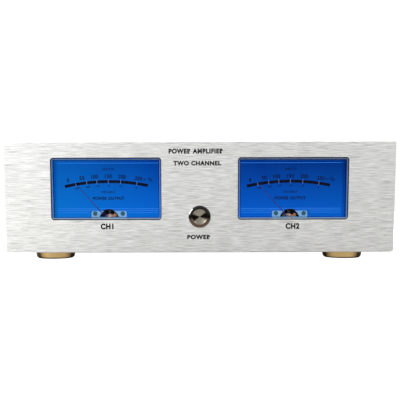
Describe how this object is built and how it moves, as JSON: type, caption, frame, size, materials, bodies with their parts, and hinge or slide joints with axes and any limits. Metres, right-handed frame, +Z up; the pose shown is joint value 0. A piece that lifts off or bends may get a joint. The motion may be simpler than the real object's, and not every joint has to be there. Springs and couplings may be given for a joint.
{
  "type": "power amplifier",
  "caption": "Desktop stereo power amplifier with a brushed aluminium front, blue pointer meters, a round power button, gold feet and rear speaker posts.",
  "frame": {"origin": "bottom centre of the whole amplifier, on the plane the feet stand on", "axes": "+Z up, +X to the right seen from the front, so the front panel faces -Y and the connectors face +Y"},
  "size_m": [0.32, 0.3034, 0.0994],
  "materials": {
    "panel_silver": "horizontal brushed and clear anodised",
    "chassis_silver": "fine bead-blasted and clear anodised",
    "bracket_aluminium": "mill finish",
    "foot_gold": "turned and gold anodised",
    "black_rubber": "matt",
    "screw_steel": "zinc plated",
    "black_screw_steel": "black oxide",
    "switch_steel": "turned, polished stainless steel",
    "black_plastic": "fine moulded grain",
    "clear_acrylic": "clear, polished",
    "dial_blue": "printed blue scale plate",
    "needle_dark": "dark painted",
    "bridge_enamel": "pale blue lit enamel",
    "magnet_grey": "ground magnet and soft iron core",
    "coil_copper": "enamelled copper wire on an aluminium former",
    "circuit_board": "green solder mask",
    "component_plastic": "moulded",
    "capacitor_sleeve": "shrink sleeve on an aluminium can",
    "transformer_tape": "polyester tape over copper winding and steel core",
    "brass": "machined",
    "gold_plate": "gold plated",
    "wire_sleeve": "insulated wire",
    "fuse_glass": "glass tube with nickel caps",
    "knob_red": "red moulded",
    "knob_black": "black moulded"
  },
  "bodies": {
    "chassis": {"front_panel": "panel_silver", "side_panel_left": "chassis_silver", "side_panel_right": "chassis_silver", "rear_panel": "chassis_silver", "bottom_plate": "chassis_silver", "top_cover": "chassis_silver", "front_brackets": "bracket_aluminium", "feet": "foot_gold", "foot_pads": "black_rubber", "foot_screws": "screw_steel", "cover_screws": "black_screw_steel", "chassis_screws": "screw_steel", "switch_body": "switch_steel", "switch_nut": "screw_steel", "switch_base": "black_plastic", "switch_terminals": "screw_steel", "meter_lamp_boards": "circuit_board", "meter_clamps": "bracket_aluminium", "transformer": "transformer_tape", "transformer_pads": "black_rubber", "transformer_plate": "screw_steel", "transformer_bolt": "screw_steel", "psu_board": "circuit_board", "psu_capacitors": "capacitor_sleeve", "amp_board_left": "circuit_board", "amp_board_right": "circuit_board", "power_transistors": "component_plastic", "board_components": "component_plastic", "standoffs": "brass", "board_screws": "screw_steel", "wiring": "wire_sleeve", "mains_inlet": "black_plastic", "rca_jacks": "gold_plate", "post_studs": "gold_plate", "insulating_bushings": "black_plastic", "meter_left_case": "black_plastic", "meter_left_lens": "clear_acrylic", "meter_left_dial": "dial_blue", "meter_left_magnet": "magnet_grey", "meter_left_bridge": "bridge_enamel", "meter_right_case": "black_plastic", "meter_right_lens": "clear_acrylic", "meter_right_dial": "dial_blue", "meter_right_magnet": "magnet_grey", "meter_right_bridge": "bridge_enamel"},
    "power_button": {"switch_cap": "switch_steel"},
    "fuse_holder": {"fuse_drawer": "black_plastic", "fuse": "fuse_glass"},
    "left_pointer": {"meter_left_needle": "needle_dark", "meter_left_coil": "coil_copper"},
    "right_pointer": {"meter_right_needle": "needle_dark", "meter_right_coil": "coil_copper"},
    "collar_left_minus": {"post_collar_left_minus": "gold_plate"},
    "knob_left_minus": {"post_knob_left_minus": "knob_black"},
    "collar_left_plus": {"post_collar_left_plus": "gold_plate"},
    "knob_left_plus": {"post_knob_left_plus": "knob_red"},
    "collar_right_plus": {"post_collar_right_plus": "gold_plate"},
    "knob_right_plus": {"post_knob_right_plus": "knob_red"},
    "collar_right_minus": {"post_collar_right_minus": "gold_plate"},
    "knob_right_minus": {"post_knob_right_minus": "knob_black"}
  },
  "joints": [
    {"name": "power_button_press", "type": "slide", "parent": "chassis", "child": "power_button", "axis": [0, 1, 0], "range_m": [0, 0.0025]},
    {"name": "left_pointer_swing", "type": "hinge", "parent": "chassis", "child": "left_pointer", "pos_m": [-0.07665, -0.12895, 0.0354], "axis": [0, 1, 0], "range_deg": [0, 83.6]},
    {"name": "right_pointer_swing", "type": "hinge", "parent": "chassis", "child": "right_pointer", "pos_m": [0.07665, -0.12895, 0.0354], "axis": [0, 1, 0], "range_deg": [0, 83.6]},
    {"name": "fuse_drawer_slide", "type": "slide", "parent": "chassis", "child": "fuse_holder", "axis": [0, 1, 0], "range_m": [0, 0.014]},
    {"name": "collar_travel_left_minus", "type": "slide", "parent": "chassis", "child": "collar_left_minus", "axis": [0, 1, 0], "range_m": [0, 0.005]},
    {"name": "knob_turn_left_minus", "type": "hinge", "parent": "collar_left_minus", "child": "knob_left_minus", "pos_m": [-0.118, 0.13975, 0.056], "axis": [0, 1, 0], "range_deg": [0, 1801]},
    {"name": "collar_travel_left_plus", "type": "slide", "parent": "chassis", "child": "collar_left_plus", "axis": [0, 1, 0], "range_m": [0, 0.005]},
    {"name": "knob_turn_left_plus", "type": "hinge", "parent": "collar_left_plus", "child": "knob_left_plus", "pos_m": [-0.092, 0.13975, 0.056], "axis": [0, 1, 0], "range_deg": [0, 1801]},
    {"name": "collar_travel_right_plus", "type": "slide", "parent": "chassis", "child": "collar_right_plus", "axis": [0, 1, 0], "range_m": [0, 0.005]},
    {"name": "knob_turn_right_plus", "type": "hinge", "parent": "collar_right_plus", "child": "knob_right_plus", "pos_m": [0.092, 0.13975, 0.056], "axis": [0, 1, 0], "range_deg": [0, 1801]},
    {"name": "collar_travel_right_minus", "type": "slide", "parent": "chassis", "child": "collar_right_minus", "axis": [0, 1, 0], "range_m": [0, 0.005]},
    {"name": "knob_turn_right_minus", "type": "hinge", "parent": "collar_right_minus", "child": "knob_right_minus", "pos_m": [0.118, 0.13975, 0.056], "axis": [0, 1, 0], "range_deg": [0, 1801]}
  ],
  "couplings": [
    {"joint": "knob_turn_left_minus", "follows": "collar_travel_left_minus", "rad_per_m": 6283.2},
    {"joint": "knob_turn_left_plus", "follows": "collar_travel_left_plus", "rad_per_m": 6283.2},
    {"joint": "knob_turn_right_plus", "follows": "collar_travel_right_plus", "rad_per_m": 6283.2},
    {"joint": "knob_turn_right_minus", "follows": "collar_travel_right_minus", "rad_per_m": 6283.2}
  ]
}
